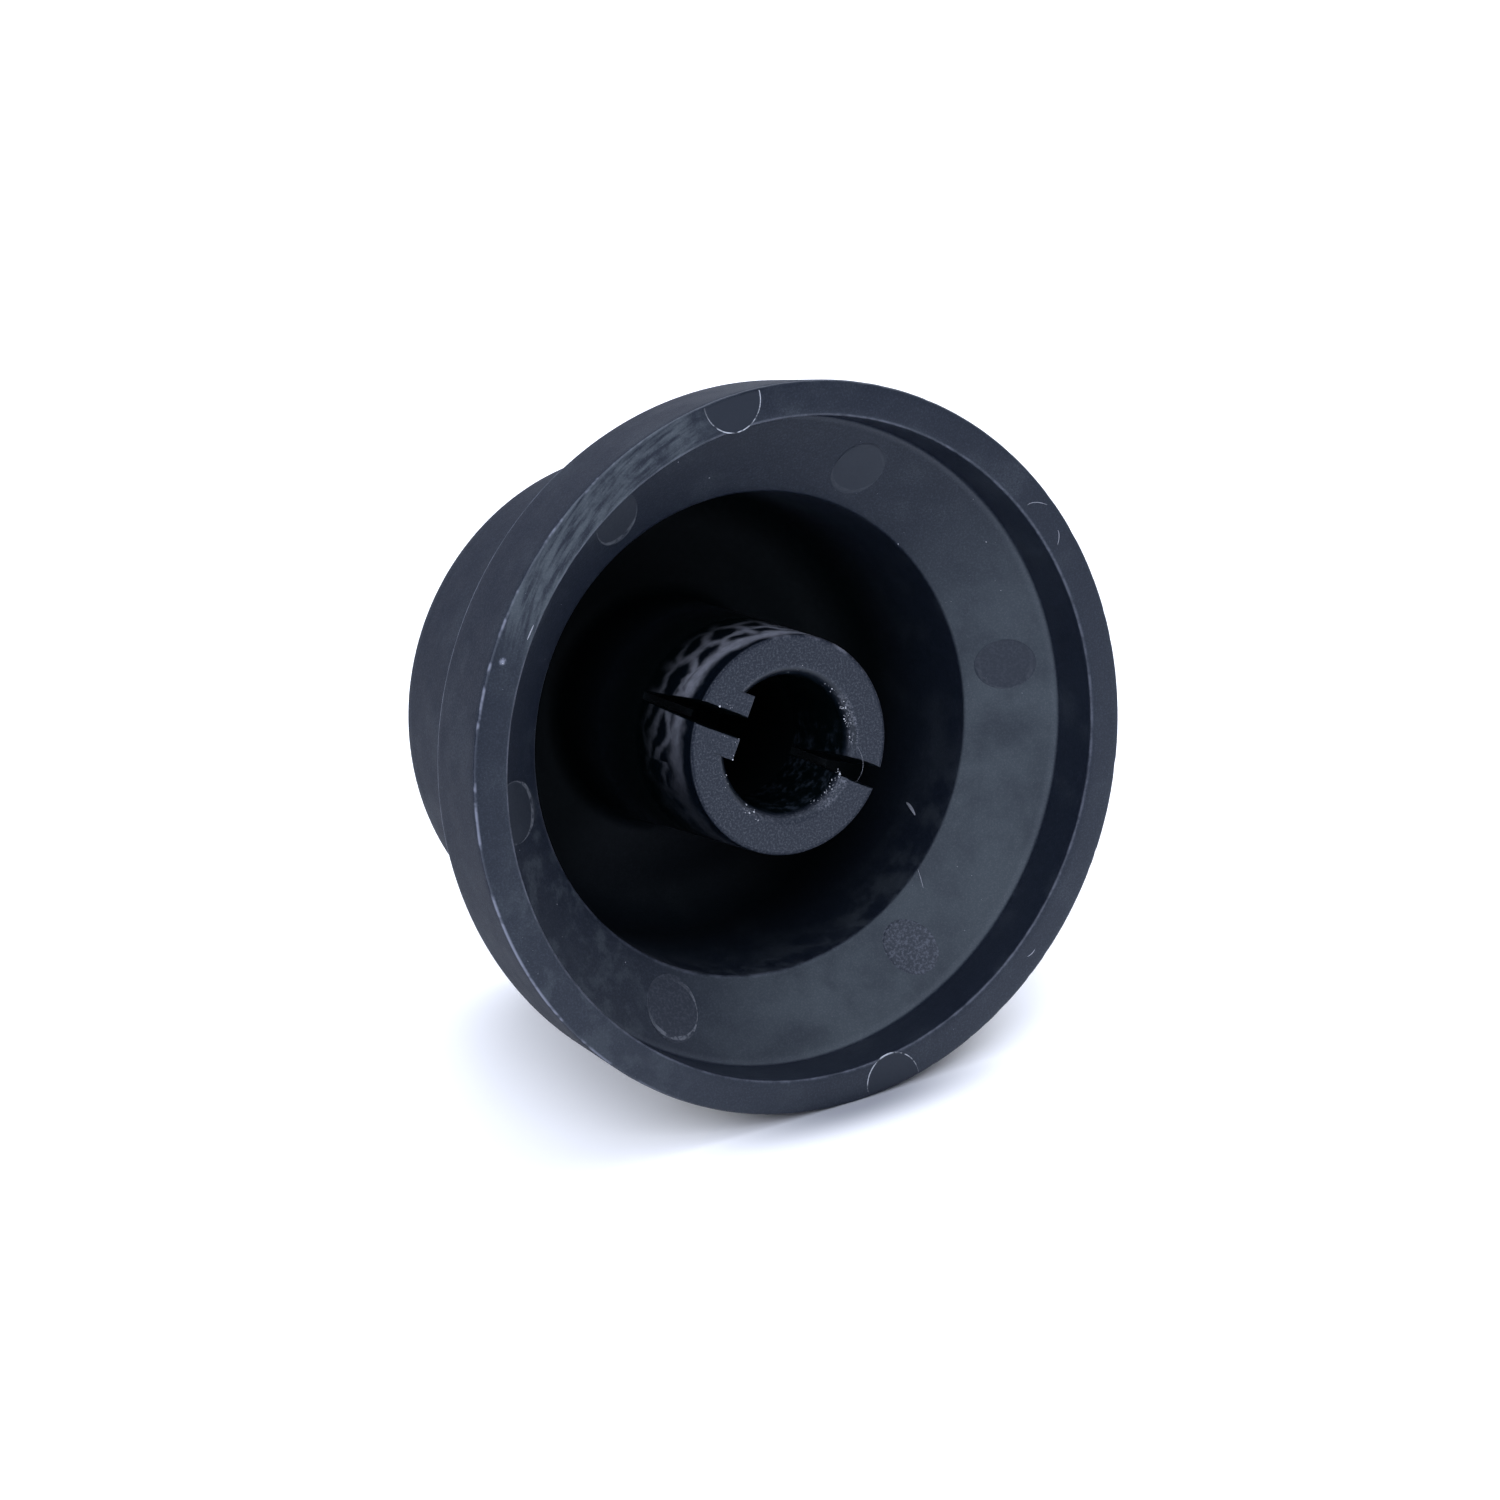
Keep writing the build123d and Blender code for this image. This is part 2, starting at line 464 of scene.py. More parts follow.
def moulded_plastic(name, base_roughness, specular, smudge, is_open_side):
    """Black plastic of the turned outside or of the open side, with worn edges, scuffs and smears.

    smudge is how strong its finger marks are. On the open side the lower left has smears, the ledge's lower
    right and the cavity's lower wall carry a pale haze that is painted light, and the deep part of the
    cavity is painted near-black as shade and is duller.
    """
    g = Graph(name)
    cloud = g.noise(g.place, 0.35, 3.0, 0.55)
    blotch = g.noise(g.place, 0.75, 4.0, 0.65)
    speckle = g.noise(g.place, 14.0, 2.0, 0.6)
    worn = worn_edges(g, speckle)
    on_rim = g.ramp(g.y, RIM_Y + 0.14, RIM_Y + 0.05)
    on_ledge = g.between(g.y, RECESS_Y, CAVITY_MOUTH_Y, 0.1)
    smudged = g.product(g.ramp(cloud, 0.50, 0.70), g.ramp(speckle, 0.30, 0.62), smudge)
    haze_and_painted_light = g.most(g.product(scuffs(g, on_rim, blotch), 0.95), smudged)
    if is_open_side:
        lower_left = g.product(g.most(on_ledge, g.product(on_rim, 0.7)), g.towards(210, 0.82, 0.97))
        smeared = g.product(lower_left, g.ramp(blotch, 0.48, 0.64), 0.38)
        # Painted light: pale haze on the ledge's lower right, where light falls on it
        ledge_painted_light = g.product(on_ledge, g.towards(318, 0.0, 0.80), g.ramp(cloud, 0.30, 0.65, 0.45, 1.0))
        # Painted light: pale haze on the cavity's lower wall near the mouth, where light reaches it
        near_mouth = g.product(g.ramp(g.radius, 11.15, 10.95), g.ramp(g.y, 8.0, 3.4))
        wall_painted_light = g.product(near_mouth, g.towards(278, 0.1, 0.9), g.ramp(blotch, 0.40, 0.66), 0.42)
        haze_and_painted_light = g.most(haze_and_painted_light, smeared, ledge_painted_light, wall_painted_light)

    grain = g.product(g.ramp(g.noise(g.place, 11.0, 3.0, 0.8), 0.44, 0.70), 0.55)
    colour = g.mix(haze_and_painted_light, g.mix(grain, PLASTIC, PLASTIC_WORN), g.mix(grain, HAZE_AND_PAINTED_LIGHT, HAZE_AND_PAINTED_LIGHT_WORN))
    colour = g.mix(worn, colour, WHITENED)
    roughness = g.math("ADD", g.product(g.noise(g.place, 0.8, 4.0, 0.6), 0.16), base_roughness)
    roughness = g.mix(g.most(worn, haze_and_painted_light), roughness, 0.65)
    round_about = g.combine(g.product(g.angle, 5.0), g.product(g.radius, 3.0), g.y)
    streaks = g.noise(round_about, 1.6, 5.0, 0.65)
    height = g.bump(spark_texture(g, 0.5), 0.009)
    height = g.bump(streaks, 0.004, height)
    if not is_open_side:
        return g.finish(colour, roughness, height, specular)

    # Painted shade: the deep cavity and the socket are painted near-black, a little less towards the
    # bottom, and made duller
    deep = g.ramp(g.y, CAVITY_MOUTH_Y + 2.0, CAVITY_MOUTH_Y + 8.5)
    deep = g.product(deep, g.towards(262, 0.7, 1.0, 1.0, 0.7))
    cavity_shade = g.most(g.product(deep, g.ramp(g.radius, 11.2, 11.0)), g.ramp(g.radius, 5.3, 5.1))
    colour = g.mix(cavity_shade, colour, PAINTED_SHADE_BLACK)
    roughness = g.mix(cavity_shade, roughness, 0.65)
    gloss = g.mix(g.product(on_ledge, g.ramp(g.radius, 14.3, 14.1)), specular, specular * 0.62)
    return g.finish(colour, roughness, height, g.mix(cavity_shade, gloss, 0.13), specular)


def boss_plastic():
    """Black plastic of the jaws: matte on the end face, with a marbled pale film behind the face's edge,
    painted paler on its lit upper side, and painted shade deeper down, in the slot and in the bore.
    """
    g = Graph("boss_black")
    across = g.math("ABSOLUTE", g.vector("DOT_PRODUCT", g.place, TO_UPPER))
    off_slot = g.ramp(g.math("ADD", across, g.product(g.y, 0.064)), 0.50, 0.55)
    outside = g.product(g.ramp(g.radius, 4.70, 4.80), off_slot)
    warp = g.noise(g.place, 0.7, 3.0, 0.55)
    depth = g.math("ADD", g.y, g.product(g.math("SUBTRACT", warp, 0.5), 1.5))
    cells = g.node("ShaderNodeTexVoronoi", feature="DISTANCE_TO_EDGE", voronoi_dimensions="2D")
    g.feed(cells.inputs["Vector"], g.combine(g.product(g.angle, 5.0), g.product(depth, 1.25), 0.0))
    cells.inputs["Scale"].default_value = 0.62
    frayed = g.math("ADD", cells.outputs["Distance"], g.product(g.noise(g.place, 3.0, 4.0, 0.7), 0.14))
    web = g.ramp(frayed, 0.31, 0.09)
    # The film is real, but it is painted wider and paler on the upper side, where light falls on it
    top_side = g.towards(62, 0.5, 1.0, 0.0, 0.6)
    near_film = g.between(g.math("ADD", depth, top_side), 0.85, 1.85, 0.36)
    deep_film = g.product(g.ramp(depth, 0.8, 1.8), web, g.ramp(g.y, 1.6, 4.8, 0.85, 0.0))
    uneven = g.ramp(g.noise(g.place, 1.6, 4.0, 0.7), 0.25, 0.75, 0.55, 1.0)
    lit_side = g.towards(100, -0.2, 0.95, 0.09, 1.0)
    film = g.product(outside, g.most(near_film, deep_film), uneven, lit_side)

    speckle = g.noise(g.place, 10.0, 4.0, 0.8)
    # Painted light: the lower side of the rounded lead-in takes the end face's paler colour, where light
    # falls on it
    in_lead_in = g.product(g.ramp(g.radius, 3.70, 3.62), g.ramp(g.y, 0.60, 0.15))
    lead_in_painted_light = g.product(in_lead_in, g.towards(290, 0.25, 0.85))
    end_face = g.most(g.ramp(g.y, 0.06, 0.0), lead_in_painted_light)
    face_colour = g.mix(g.ramp(speckle, 0.47, 0.66), PLASTIC, BOSS_FACE_WORN)
    # Painted shade: the jaws' sides darken with depth
    sunk_shade = g.ramp(g.y, 1.6, 4.6)
    colour = g.mix(end_face, g.mix(sunk_shade, BOSS_SIDE, PAINTED_SHADE_BLACK), face_colour)
    few_tatters = g.towards(230, 0.9, 1.0, 0.0, 0.4)
    torn_side = g.most(g.towards(8, 0.86, 0.98), g.towards(308, 0.93, 0.99), few_tatters)
    tatters = g.ramp(g.noise(g.place, 6.0, 4.0, 0.8), 0.46, 0.62)
    torn = g.product(g.between(g.radius, 3.16, 3.52, 0.06), torn_side, tatters)
    colour = g.mix(g.product(torn, 0.35), colour, FILM)
    colour = g.mix(film, colour, FILM)
    roughness = g.mix(film, 0.30, 0.55)
    roughness = g.mix(end_face, roughness, 0.46)
    # Painted shade: the slot's faces and the bore behind its rounded mouth are painted near-black, with
    # pale patches of lint in the bore
    mouth = g.ramp(g.radius, 3.38, 3.20)
    slot_and_bore_shade = g.most(g.math("SUBTRACT", 1.0, off_slot), g.product(mouth, g.ramp(g.y, 0.25, 0.7)))
    slot_and_bore_shade = g.product(slot_and_bore_shade, g.math("SUBTRACT", 1.0, end_face))
    lint = g.product(g.ramp(g.noise(g.place, 2.2, 5.0, 0.75), 0.50, 0.66), g.towards(300, 0.2, 0.8))
    colour = g.mix(slot_and_bore_shade, colour, g.mix(lint, PAINTED_SHADE_BLACK, BORE_LINT))
    height = g.bump(g.math("ADD", spark_texture(g, 0.6), g.product(torn, 0.6)), 0.014)
    specular = g.mix(slot_and_bore_shade, g.mix(outside, 0.46, g.mix(sunk_shade, 0.18, 0.06)), 0.06)
    return g.finish(colour, roughness, height, specular, 0.3)


def pin_plastic(name, centre, size, grain, pale, ring, highlight_side):
    """Plastic pressed against an ejector pin's end, with the pale ring that its flash leaves round it.

    The ring carries a painted highlight, strongest on the side of the mark that the last argument gives, in
    degrees round its centre.
    """
    g = Graph(name)
    speckle = g.noise(g.place, 8.0, 3.0, 0.7)
    away = g.vector("DISTANCE", g.place, centre)
    broken = g.ramp(g.noise(g.place, 2.6, 3.0, 0.7), 0.36, 0.56)
    off_centre = g.vector("NORMALIZE", g.vector("SUBTRACT", g.place, centre))
    # Painted highlight: the pale ring is brightened on one side of the mark, where light catches its lip
    strong = g.ramp(g.vector("DOT_PRODUCT", off_centre, around(1, highlight_side, 0)), -0.75, 0.55, 0.04, 1.0)
    rim = g.product(g.between(away, size * 0.96, size * 1.1, 0.01), broken, ring, strong)
    colour = g.mix(g.product(g.ramp(speckle, 0.42, 0.66), pale), PLASTIC, WHITENED)
    colour = g.mix(rim, colour, PIN_RING)
    roughness = g.math("ADD", g.product(speckle, 0.25), 0.38)
    return g.finish(colour, roughness, g.bump(speckle, grain))


def flash_plastic():
    """Thin plastic squeezed out at a mould's joints and torn at the bore, shiny, and painted pale so that
    its crumbs show as glints.
    """
    g = Graph("flash_painted_glint")
    speckle = g.noise(g.place, 20.0, 2.0, 0.6)
    colour = g.mix(speckle, FLASH_DULL, FLASH_PAINTED_GLINT)
    return g.finish(colour, 0.22, g.bump(speckle, 0.01))


def lint_fibre():
    """Grey lint and dust."""
    g = Graph("lint_grey")
    speckle = g.noise(g.place, 10.0, 2.0, 0.6)
    return g.finish(g.mix(speckle, LINT_DARK, LINT_PALE), 0.7, specular=0.2)


def paint():
    """Off-white paint filled into the index groove, slightly uneven and grubby at its edge."""
    g = Graph("index_paint_fill")
    mottle = g.noise(g.place, 1.4, 5.0, 0.65)
    pits = g.noise(g.place, 12.0, 2.0, 0.5)
    colour = g.mix(g.ramp(mottle, 0.35, 0.70), PAINT_DULL, PAINT_PALE)
    colour = g.mix(g.ramp(pits, 0.66, 0.78), colour, PAINT_GRUBBY)
    roughness = g.math("ADD", g.product(mottle, 0.2), 0.42)
    return g.finish(colour, roughness, g.bump(pits, 0.006))


def white_floor():
    """Matte white board under the knob, which glows a little so that its far side stays white.

    The glow stops where the rim stands, and a painted shadow darkens the board there, so that the knob sits
    firmly.
    """
    g = Graph("white_board")
    patch = g.noise(g.place, 0.02, 3.0, 0.5)
    colour = g.mix(patch, BOARD_DULL, BOARD_PALE)
    g.shader.inputs["Emission Color"].default_value = BOARD_GLOW
    # Painted contact shadow: the glow fades out and the board darkens near where the rim touches
    from_foot = g.vector("LENGTH", g.vector("MULTIPLY", g.place, (0.3, 1, 1)))
    g.feed(g.shader.inputs["Emission Strength"], g.ramp(from_foot, 0.8, 3.5, 0.0, 0.13))
    colour = g.mix(g.ramp(from_foot, 2.6, 0.3), colour, BOARD_PAINTED_SHADOW)
    return g.finish(colour, 0.9, specular=0.0)


# ---------------------------------------------------------------- pieces


def socket_half(radius, slot_half, edge):
    """Half of the D-shaped socket's outline, from the flat round to the far side of the slot.

    edge is how far a rounded mouth has eaten into the pad at this depth.
    """
    flat, width = FLAT_DISTANCE + edge, PAD_HALF_WIDTH - edge
    side_end = sqrt(radius**2 - width**2)
    start, end = asin(width / radius), pi - asin(slot_half / radius)
    face_runs, side_runs = 12, 4
    half = [(flat, slot_half + (width - slot_half) * i / face_runs) for i in range(face_runs)]
    half += [(flat + (side_end - flat) * i / side_runs, width) for i in range(side_runs)]
    steps = HALF - face_runs - side_runs
    for i in range(steps + 1):
        turn = start + (end - start) * i / steps
        half.append((radius * cos(turn), radius * sin(turn)))
    return half


def moulding():
    """The knob's whole turned body, from the crown round the skirt and the cavity to the socket."""
    corners = [
        (0, END_Y, 0),
        (GRIP_END_RADIUS, END_Y, END_ROUND),
        (GRIP_FOOT_RADIUS, GRIP_FOOT_Y, 0.35),
        (BAND_TOP_RADIUS, BAND_TOP_Y, 0.10),
        (RIM_RADIUS, RIM_FACE_Y, 0.12),
        (RIM_INNER_RADIUS, RIM_FACE_Y, 0.12),
        (RECESS_RADIUS, RECESS_Y, 0.30),
        (CAVITY_MOUTH_RADIUS, CAVITY_MOUTH_Y, 0.22),
        (CAVITY_FLOOR_RADIUS, CAVITY_FLOOR_Y, 2.4),
        (BOSS_BASE_RADIUS, CAVITY_FLOOR_Y, 0.8),
        (boss_radius(SLOT_DEPTH), SLOT_DEPTH, 0),
    ]
    rings = [[Vector((0, END_Y, 0))]]
    for radius, y in rounded_path(corners, 0.35)[1:]:
        ring = []
        for i in range(SEGMENTS):
            turn = 2 * pi * i / SEGMENTS
            nick = rim_nick(radius, y, turn)
            ring.append(place((radius - nick) * cos(turn), (radius - nick) * sin(turn), y + nick * 0.5))
        rings.append(ring)
    socket = socket_half(SOCKET_RADIUS, 0, 0)
    loop = socket + [(f, -n) for f, n in socket[-2:0:-1]]
    for y in (SLOT_DEPTH, 7.5, 10.0, SOCKET_DEPTH):
        rings.append([place(f, n, y) for f, n in loop])
    rings.append([place(f * 0.5, n * 0.5, SOCKET_DEPTH) for f, n in loop])
    rings.append([Vector((0, SOCKET_DEPTH, 0))])
    open_side = moulded_plastic("moulded_inside", 0.30, 0.45, 0.26, True)
    knob = make_piece("knob_moulding", *loft(rings), open_side, crease=50)
    knob.data.materials.append(moulded_plastic("moulded_outside", 0.52, 0.07, 0.18, False))
    for face in knob.data.polygons:
        if is_outside(face.center / MM):
            face.material_index = 1
    return knob


def is_outside(spot):
    """Whether a place on the moulding is on the outside: the band, the shoulder, the grip or the crown."""
    radius = hypot(spot.x, spot.z)
    on_band = radius > RIM_RADIUS - 0.25 and spot.y > RIM_Y + 0.09
    on_shoulder = radius > 12.4 and spot.y > 1.9
    on_grip = radius > 11.3 and spot.y > 3.1
    return on_band or on_shoulder or on_grip or spot.y > 14


def rim_nick(radius, y, turn):
    """How deep the rim's outer edge is nicked at a place on it, in millimetres."""
    reach = 0.2
    away = hypot(radius - RIM_RADIUS, y - RIM_FACE_Y)
    if away > reach:
        return 0
    rough = noise.noise(Vector((cos(turn) * 40, sin(turn) * 40, y * 3)))
    return max(0, rough - 0.15) * 0.05 * (1 - away / reach)


def index_outline(inset):
    """The index line's outline, drawn in by inset, as distances towards the flat and the upper jaw."""
    radius = INDEX_WIDTH / 2 - inset
    ends = (-(INDEX_INNER_RADIUS + INDEX_WIDTH / 2), -(INDEX_OUTER_RADIUS - INDEX_WIDTH / 2))
    outline = []
    for centre, first in ((ends[0], -90), (ends[1], 90)):
        for i in range(INDEX_END_RUNS + 1):
            turn = radians(first + 180 * i / INDEX_END_RUNS)
            outline.append((centre + radius * cos(turn), radius * sin(turn)))
    return outline


def cut_index_groove(knob):
    """Cut the groove for the index line into the crown."""
    levels = ((0.0, END_Y + 0.5), (0.0, END_Y - INDEX_DEPTH + 0.05), (0.05, END_Y - INDEX_DEPTH))
    rings = [[place(f, n, y) for f, n in index_outline(inset)] for inset, y in levels]
    rings.insert(0, [place(INDEX_MIDDLE, 0, END_Y + 0.5)])
    rings.append([place(INDEX_MIDDLE, 0, END_Y - INDEX_DEPTH)])
    cutter = make_piece("groove_cutter", *loft(rings), knob.data.materials[0])
    cut = knob.modifiers.new("index_groove", "BOOLEAN")
    cut.object = cutter
    cut.operation = "DIFFERENCE"
    cut.solver = "EXACT"
    bake_modifiers(knob)
    bpy.data.objects.remove(cutter)


def index_fill():
    """Paint in the index groove: it wets the groove's sides and sinks a little in its middle."""
    profile = ((0.0, INDEX_DEPTH), (0.0, 0.02), (0.03, 0.035), (0.12, 0.06), (0.30, 0.075), (0.5, 0.08))
    rings = [[place(f, n, END_Y - depth) for f, n in index_outline(inset)] for inset, depth in profile]
    rings.insert(0, [place(INDEX_MIDDLE, 0, END_Y - INDEX_DEPTH)])
    rings.append([place(INDEX_MIDDLE, 0, END_Y - profile[-1][1])])
    return make_piece("index_paint_line", *loft(rings), paint(), crease=60)


def jaw(name, side, material):
    """One half of the boss's slotted end, as a skin through curves that run from slot face to slot face.

    The curves go down the outside, over the end face, down the bore and across the root, back to the start.
    """
    depths = [0, 0.003, 0.01, 0.02, 0.035, 0.05, 0.08, 0.12, 0.18, 0.25, 0.33, 0.42, 0.52, 0.63, 0.75, 0.85]
    depths += [0.95 + i * (SLOT_DEPTH - 0.95) / 26 for i in range(27)]
    outer, inner = [], []
    for y in depths:
        widening = mouth_rounding(y, 0.05)
        slot_half = (SLOT_MOUTH_WIDTH + (SLOT_END_WIDTH - SLOT_MOUTH_WIDTH) * y / SLOT_DEPTH) / 2 + widening
        radius = boss_radius(y) - mouth_rounding(y, 0.09)
        start = asin(slot_half / radius)
        turns = [start + (pi - 2 * start) * i / HALF for i in range(HALF + 1)]
        outer.append([place(radius * cos(t), side * radius * sin(t), y) for t in turns])
        bore = SOCKET_RADIUS + max(lead_in_flare(y), widening)
        inner.append([place(f, side * n, y) for f, n in socket_half(bore, slot_half, widening)])
    face = [[a.lerp(b, i / 10) for a, b in zip(outer[0], inner[0])] for i in range(1, 10)]
    curves = outer[::-1] + face + inner
    curves += [[a.lerp(b, i / 4) for a, b in zip(inner[-1], outer[-1])] for i in range(1, 4)]
    count = len(curves)
    points, faces = loft(curves + curves[:1], closed=False)
    row = HALF + 1
    faces = [tuple(i % (count * row) for i in face) for face in faces]
    points = points[: count * row]
    faces.append(tuple(k * row for k in range(count)))
    faces.append(tuple(k * row + HALF for k in range(count)))
    piece = make_piece(name, points, faces, material, crease=50)
    bevel = piece.modifiers.new("slot_edges", "BEVEL")
    bevel.width = 0.03 * MM
    bevel.segments = 2
    bevel.limit_method = "ANGLE"
    bevel.angle_limit = radians(55)
    bake_modifiers(piece)
    return piece


def flash_strength(turn, seed):
    """How much of a mark's flash is left at a place round it."""
    return 0.35 + 0.65 * min(1, max(0, noise.noise(Vector((cos(turn), sin(turn), seed))) + 0.35))


def pin_mark(name, pitch, angle, size, surface, lip, looks):
    """A round ejector-pin mark: a disc that follows its surface, with a thin lip of flash round it.

    lip is how far the flash stands proud towards the open side. looks are the mark's grain, paleness, ring
    and the side where the ring's painted highlight is strongest.
    """
    centre = around(pitch, angle, surface(pitch))
    profile = [(share, MARK_RISE) for share in (0.25, 0.5, 0.75, 0.90, 0.955)]
    profile += [(0.965, lip), (0.985, lip), (1.0, -0.03)]
    rings = []
    for share, height in profile:
        ring = []
        for i in range(MARK_SEGMENTS):
            turn = 2 * pi * i / MARK_SEGMENTS
            spot = centre + Vector((cos(turn), 0, sin(turn))) * share * size
            here = hypot(spot.x, spot.z)
            radius = min(here, MARK_MOST_RADIUS)
            rise = height * flash_strength(turn, angle) if height == lip else height
            ring.append(Vector((spot.x * radius / here, surface(radius) - rise, spot.z * radius / here)))
        rings.append(ring)
    middle = min(pitch, MARK_MOST_RADIUS)
    rings.insert(0, [around(middle, angle, surface(middle) - MARK_RISE)])
    rings.append([around(middle, angle, surface(middle) + 0.04)])
    return make_piece(name, *loft(rings), pin_plastic(name, centre, size, *looks), crease=60)


def grains(name, spots, material):
    """Small irregular grains, as one piece, from pairs of a place and a size."""
    rand = random.Random(name)
    points, faces = [], []
    for spot, size in spots:
        first = len(points)
        for axis in range(3):
            for side in (-1, 1):
                tip = Vector([rand.uniform(-0.4, 0.4) for _ in range(3)])
                tip[axis] += side * rand.uniform(0.6, 1.0)
                points.append(spot + tip * size)
        faces += [(first + a, first + b, first + c) for a in (0, 1) for b in (2, 3) for c in (4, 5)]
    return make_piece(name, points, faces, material, crease=15)


def strands(name, curves, material):
    """Thin bent strands, as one piece, from their start, end, sideways bend and thickness."""
    sides = (0, 1.05, 2.09, 3.14, 4.19, 5.24)
    points, faces = [], []
    for start, end, bend, thickness in curves:
        along = (end - start).normalized()
        across = along.orthogonal().normalized()
        up = along.cross(across)
        rings = []
        for i in range(STRAND_RUNS + 1):
            share = i / STRAND_RUNS
            middle = start.lerp(end, share) + bend * 4 * share * (1 - share)
            thin = thickness * (0.15 + 0.85 * sqrt(sin(pi * min(1, max(0, share)))))
            rings.append([middle + (across * cos(t) + up * sin(t)) * thin for t in sides])
        first = len(points)
        more_points, more_faces = loft(rings)
        points += more_points
        faces += [tuple(first + i for i in face) for face in more_faces]
    return make_piece(name, points, faces, material, crease=80)


def grain_size(rand, least, spread, power=3):
    """A random size, near least for most grains and up to spread more for a few."""
    return least + spread * rand.random() ** power


# Crumbs on the upper (1) and lower (-1) jaw: their angle, how far they spread, how many and how deep
BURR_CLUSTERS = {
    1: ((14, 13, 26, 0.25), (40, 6, 6, 0.25), (78, 8, 4, 0.05)),
    -1: (
        (352, 3, 8, 0.25),
        (318, 10, 22, 0.40),
        (297, 9, 12, 0.45),
        (228, 9, 12, 0.08),
        (196, 6, 5, 0.05),
    ),
}


def mouth_burrs(side):
    """Torn crumbs of flash round the bore's mouth and the slot's edges, on one jaw."""
    rand = random.Random(40 + side)
    spots = []
    for angle, spread, count, depth in BURR_CLUSTERS[side]:
        for _ in range(count):
            down = max(0.0, depth + rand.uniform(-0.15, 0.15))
            radius = SOCKET_RADIUS + lead_in_flare(down)
            size = grain_size(rand, 0.020, 0.042)
            spots.append((around(radius, angle + rand.uniform(-spread, spread), down), size))
    for _ in range(7):
        to_flat = rand.uniform(2.5, 4.2)
        spot = place(to_flat, side * rand.uniform(0.50, 0.75), 0.0)
        spots.append((spot, grain_size(rand, 0.012, 0.025, power=2)))
    if side < 0:
        spots += [(place(2.47, -1.42, 0.02), 0.055), (place(2.50, -1.25, 0.0), 0.03)]
    else:
        spots += [(place(3.95, 0.53, 0.0), 0.05)]
        spots += [(around(3.34, 358.5, 0.28), 0.07), (around(3.34, 1.5, 0.28), 0.06)]
        spots += [(around(3.36, 5.0, 0.25), 0.05), (around(3.34, 355.5, 0.30), 0.05)]
    return spots


# Larger specks on the ledge and on the rim: their radius, angle and size
LEDGE_SPECKS = ((12.0, 96, 0.045), (10.95, 41, 0.05), (14.2, 39, 0.04), (13.6, 30, 0.05), (13.7, 308, 0.04))
RIM_SPECKS = ((15.30, 154.5, 0.06), (15.7, 34, 0.05), (14.85, 324, 0.05))


def dust():
    """Specks of dust on the ledge and the rim, a few of them in known places."""
    rand = random.Random(7)
    spots = [(around(radius, angle, ledge_y(radius)), size) for radius, angle, size in LEDGE_SPECKS]
    for _ in range(46):
        radius = rand.uniform(10.95, 14.3)
        spot = around(radius, rand.uniform(0, 360), ledge_y(radius))
        spots.append((spot, grain_size(rand, 0.012, 0.02)))
    for radius, angle, size in RIM_SPECKS:
        spots.append((around(radius, angle, RIM_FACE_Y + size * 0.9), size))
    for _ in range(40):
        angle = rand.choice((rand.uniform(100, 230), rand.uniform(0, 360)))
        size = grain_size(rand, 0.012, 0.025)
        spots.append((around(rand.uniform(14.6, 15.85), angle, RIM_FACE_Y + size * 0.5), size))
    return spots, rand


def build_debris():
    """Burrs at the mouth, and the dust and lint that lie on the open side."""
    flash = flash_plastic()
    lint = lint_fibre()
    for name, side in (("upper_jaw", 1), ("lower_jaw", -1)):
        settle(grains(f"{name}_burrs", mouth_burrs(side), flash), name, "black_plastic")

    spots, rand = dust()
    settle(grains("dust_specks", spots, lint), "knob", "black_plastic")

    chips = [(around(15.46, 153.7, RIM_FACE_Y + 0.09), 0.12)]
    chips.append((around(15.77, 133.3, BAND_TOP_Y - 0.12), 0.05))
    for angle in (118, 131, 146, 149, 157, 166, 178, 205):
        chips.append((around(15.90, angle, RIM_Y + 0.08), rand.uniform(0.025, 0.05)))
    settle(grains("edge_chips", chips, flash), "knob", "black_plastic")

    on_rim = RIM_FACE_Y
    curves = [
        (around(14.88, 35.8, on_rim), around(15.64, 33.0, on_rim), around(0.15, 120, 0), 0.016),
        (around(15.38, 28.4, on_rim), around(15.00, 26.3, on_rim), around(0.10, 30, 0), 0.018),
        (around(14.72, 146.6, on_rim), around(14.74, 149.2, on_rim), around(0.02, 60, 0), 0.028),
        (around(10.72, 328.0, 6.0), around(10.79, 325.6, 5.0), around(0.04, 60, 0), 0.08),
        (around(10.90, 313.0, 2.80), around(11.5, 310.0, ledge_y(11.5)), around(0.05, 300, 0), 0.018),
        (around(15.2, 309.6, on_rim), around(15.3, 311.5, on_rim), around(0.05, 300, 0), 0.02),
    ]
    settle(strands("lint", curves, lint), "knob", "black_plastic")
    bridge = [(around(3.35, 348, -0.14), around(3.9, 323, -0.01), around(0.30, 340, -0.08), 0.006)]
    settle(strands("slot_fibre", bridge, lint), "lower_jaw", "black_plastic")


def build_knob():
    """The moulding with its painted index line, and the two jaws of the boss."""
    knob = moulding()
    cut_index_groove(knob)
    settle(knob, "knob", "black_plastic", "skirt_band", "skirt_shoulder", "grip_wall", "crown", "boss_root")
    settle(index_fill(), "knob", "index_paint", "index_line")
    material = boss_plastic()
    for name, side in (("upper_jaw", 1), ("lower_jaw", -1)):
        piece = jaw(f"boss_{name}", side, material)
        settle(piece, None, "black_plastic", name)
        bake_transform(piece)


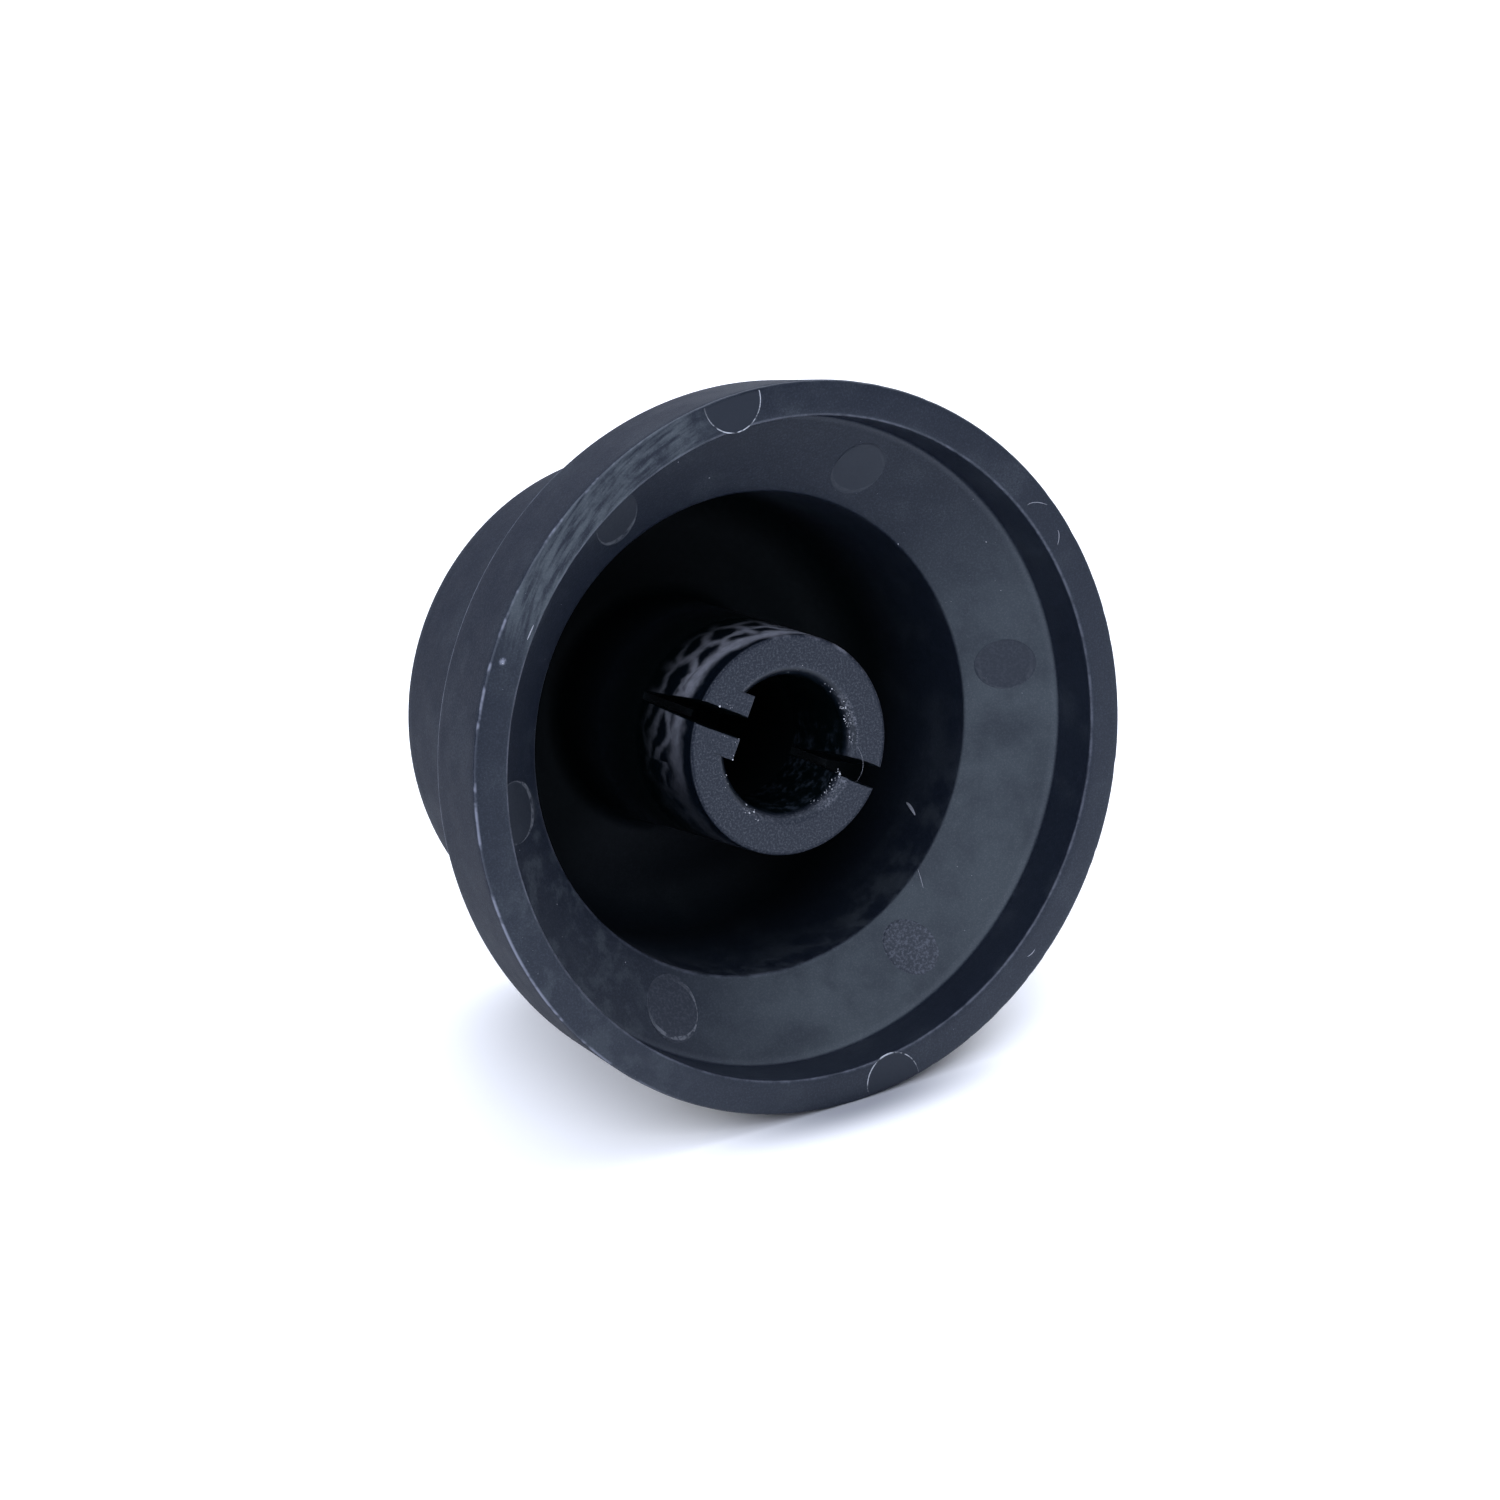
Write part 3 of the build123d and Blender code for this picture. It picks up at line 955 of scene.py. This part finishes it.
def build_pin_marks():
    """The six marks on the ledge and the two on the rim, where the flash is thicker."""
    for k, (angle, size, *looks) in enumerate(LEDGE_PIN_MARKS):
        name = f"ledge_pin_mark_{k + 1}"
        mark = pin_mark(name, LEDGE_PIN_PITCH, angle, size, ledge_y, LEDGE_PIN_LIP, looks)
        settle(mark, "knob", "black_plastic")
    for k, angle in enumerate(RIM_PIN_ANGLES):
        name, looks = f"rim_pin_mark_{k + 1}", (0.004, 0.0, 0.7, angle + 205)
        mark = pin_mark(name, RIM_PIN_PITCH, angle, RIM_PIN_RADIUS, rim_face_y, RIM_PIN_LIP, looks)
        settle(mark, "knob", "black_plastic")


# ---------------------------------------------------------------- camera, light and floor

VIEW_AZIMUTH = -27.50
VIEW_ELEVATION = 13.33
VIEW_ROLL = -6.92
CAMERA_PLACE = Vector((-60.495, -112.437, 30.261))
FLOOR_TILT = 13.65
FLOOR_HALF_WIDTH = 1.5

# The dark room is on this side, and gives less light than the rest of the surround
ROOM_SIDE = Vector((0.10, -0.97, 0.10)).normalized()
ROOM_LIGHT = 0.20
OPEN_LIGHT = 1.20
SURROUND_COLOUR = (0.88, 0.93, 1.08, 1)
LAMP_COLOUR = (0.92, 0.96, 1.06)


def add_camera():
    """The camera: its heading from +Y towards -X, its height above the XY plane, and its roll."""
    camera = bpy.data.cameras.new("camera")
    camera.lens = 72
    camera.sensor_width = 36
    camera.clip_start = 0.001
    holder = bpy.data.objects.new("camera", camera)
    look = Matrix.Rotation(radians(VIEW_AZIMUTH), 4, "Z")
    look = look @ Matrix.Rotation(radians(90 - VIEW_ELEVATION), 4, "X")
    look = look @ Matrix.Rotation(radians(VIEW_ROLL), 4, "Z")
    holder.matrix_world = Matrix.Translation(CAMERA_PLACE * MM) @ look
    bpy.context.scene.collection.objects.link(holder)
    bpy.context.scene.camera = holder


def add_floor():
    """A large white board that the rim and the crown's rounded edge lie on."""
    half = FLOOR_HALF_WIDTH
    mesh = bpy.data.meshes.new("floor")
    corners = [(-half, -half, 0), (half, -half, 0), (half, half, 0), (-half, half, 0)]
    mesh.from_pydata(corners, [], [(0, 1, 2, 3)])
    mesh.materials.append(white_floor())
    floor = bpy.data.objects.new("floor", mesh)
    foot = Vector((0, RIM_Y, -RIM_RADIUS)) * MM
    floor.matrix_world = Matrix.Translation(foot) @ Matrix.Rotation(radians(FLOOR_TILT), 4, "X")
    bpy.context.scene.collection.objects.link(floor)


def add_world():
    """A white surround for the eye. The light it gives is cool, and dims towards the dark room in front."""
    world = bpy.data.worlds.new("surround")
    bpy.context.scene.world = world
    world.use_nodes = True
    nodes, links = world.node_tree.nodes, world.node_tree.links
    nodes.clear()
    seen = nodes.new("ShaderNodeBackground")
    seen.inputs["Color"].default_value = (1, 1, 1, 1)
    light = nodes.new("ShaderNodeBackground")
    light.inputs["Color"].default_value = SURROUND_COLOUR
    heading = nodes.new("ShaderNodeTexCoord")
    facing = nodes.new("ShaderNodeVectorMath")
    facing.operation = "DOT_PRODUCT"
    facing.inputs[1].default_value = ROOM_SIDE
    dimming = nodes.new("ShaderNodeMapRange")
    dimming.interpolation_type = "SMOOTHSTEP"
    dimming.inputs["From Min"].default_value = 0.50
    dimming.inputs["From Max"].default_value = 0.90
    dimming.inputs["To Min"].default_value = OPEN_LIGHT
    dimming.inputs["To Max"].default_value = ROOM_LIGHT
    path = nodes.new("ShaderNodeLightPath")
    mix = nodes.new("ShaderNodeMixShader")
    out = nodes.new("ShaderNodeOutputWorld")
    links.new(heading.outputs["Generated"], facing.inputs[0])
    links.new(facing.outputs["Value"], dimming.inputs["Value"])
    links.new(dimming.outputs["Result"], light.inputs["Strength"])
    links.new(path.outputs["Is Camera Ray"], mix.inputs[0])
    links.new(light.outputs[0], mix.inputs[1])
    links.new(seen.outputs[0], mix.inputs[2])
    links.new(mix.outputs[0], out.inputs[0])


def add_lamp(name, place_mm, target_mm, size_mm, power):
    """A soft square lamp at a place, turned to a target."""
    lamp = bpy.data.lights.new(name, "AREA")
    lamp.size = size_mm * MM
    lamp.energy = power
    lamp.color = LAMP_COLOUR
    holder = bpy.data.objects.new(name, lamp)
    aim = (Vector(target_mm) - Vector(place_mm)).normalized()
    turned = aim.to_track_quat("-Z", "Y").to_matrix().to_4x4()
    holder.matrix_world = Matrix.Translation(Vector(place_mm) * MM) @ turned
    bpy.context.scene.collection.objects.link(holder)


bpy.context.scene.view_settings.view_transform = "Standard"
build_knob()
build_pin_marks()
build_debris()
add_camera()
add_floor()
add_world()
add_lamp("top_softbox", (90, 60, 250), (0, 5, 0), 300, 0.62)
add_lamp("front_softbox", (-100, -220, 170), (0, 0, 0), 220, 0.42)
